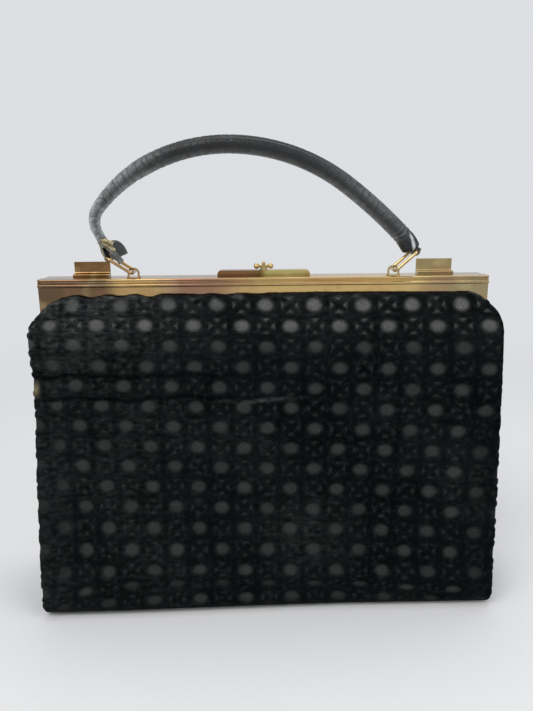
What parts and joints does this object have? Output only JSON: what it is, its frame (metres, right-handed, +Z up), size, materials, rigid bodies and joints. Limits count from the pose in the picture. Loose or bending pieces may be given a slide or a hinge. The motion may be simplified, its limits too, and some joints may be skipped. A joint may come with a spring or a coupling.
{
  "type": "velvet frame handbag",
  "caption": "Black cut-velvet handbag on a hinged brass frame, with a turn clasp, upright tabs and a tubular leather handle on wire rings.",
  "frame": {"origin": "on the floor under the middle of the bag", "axes": "+X to the right as the bag's front is seen, +Y to the back, +Z up"},
  "size_m": [0.29, 0.0708, 0.2966],
  "materials": {
    "velvet": "cut velvet pile",
    "board": "stiff grey card",
    "brass": "aged satin brass",
    "lining": "plain woven lining",
    "handle_leather": "embossed leather"
  },
  "bodies": {
    "bag": {"front_panel": "velvet", "rear_panel": "velvet", "base_panel": "velvet", "left_gusset": "velvet", "right_gusset": "velvet", "front_board": "board", "rear_board": "board", "base_board": "board", "lining": "lining", "rear_jaw": "brass", "left_hinge_pin": "brass", "right_hinge_pin": "brass", "clasp_plate": "brass", "left_tab": "brass", "right_tab": "brass", "frame_rivets": "brass"},
    "front_frame": {"front_jaw": "brass", "clasp_keeper": "brass", "left_handle_lug": "brass", "right_handle_lug": "brass"},
    "knob": {"clasp_knob": "brass", "clasp_hook": "brass"},
    "handle": {"handle": "handle_leather", "left_ring": "brass", "right_ring": "brass"}
  },
  "joints": [
    {"name": "frame_open", "type": "hinge", "parent": "bag", "child": "front_frame", "pos_m": [0, 0, 0.15], "axis": [1, 0, 0], "range_deg": [0, 50], "deforming": ["front_panel", "left_gusset", "right_gusset", "lining"]},
    {"name": "clasp_turn", "type": "hinge", "parent": "bag", "child": "knob", "pos_m": [0, 0.0044, 0.215], "axis": [0, 0, -1], "range_deg": [0, 90]},
    {"name": "handle_swing", "type": "hinge", "parent": "front_frame", "child": "handle", "pos_m": [0, -0.0046, 0.2166], "axis": [1, 0, 0], "range_deg": [-25, 25]}
  ]
}
